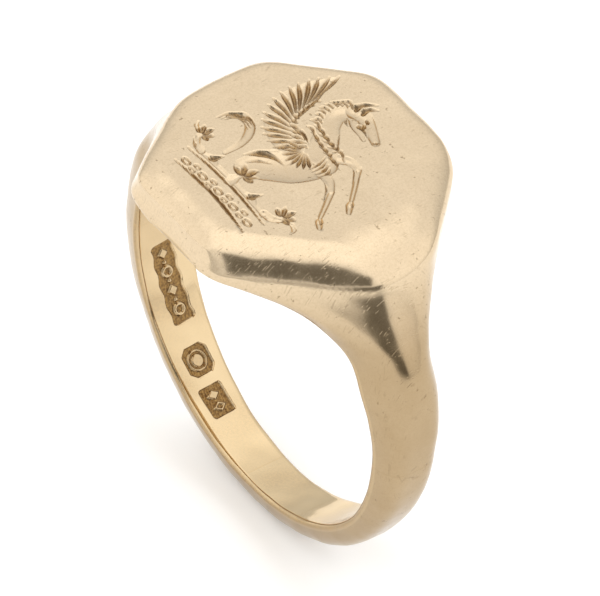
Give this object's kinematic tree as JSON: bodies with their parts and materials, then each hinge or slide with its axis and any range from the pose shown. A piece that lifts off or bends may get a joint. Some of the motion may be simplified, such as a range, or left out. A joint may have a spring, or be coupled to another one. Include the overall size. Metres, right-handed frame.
{
  "type": "signet ring",
  "caption": "Yellow gold signet ring: a wide flat engraved table on tapering shoulders, closed by a narrow D-section shank with a let-in piece at the back.",
  "frame": {"origin": "centre of the finger hole, halfway between its two mouths", "axes": "+Z from the finger axis out through the table, +Y along the finger axis towards the top of the engraved crest, +X across the table towards the right shoulder"},
  "size_m": [0.0214, 0.0133, 0.0214],
  "materials": {
    "head_gold": "softly worn yellow gold, satin with fine wear scratches",
    "shank_gold": "softly worn yellow gold, satin outside and polished inside",
    "insert_gold": "yellow gold of a slightly paler batch, satin outside and polished inside",
    "gold_solder": "filed and polished gold solder"
  },
  "bodies": {
    "root": {"signet_head": "head_gold", "right_shank_arm": "shank_gold", "left_shank_arm": "shank_gold", "sizing_insert": "insert_gold", "right_head_solder": "gold_solder", "left_head_solder": "gold_solder", "right_insert_solder": "gold_solder", "left_insert_solder": "gold_solder"}
  },
  "joints": []
}
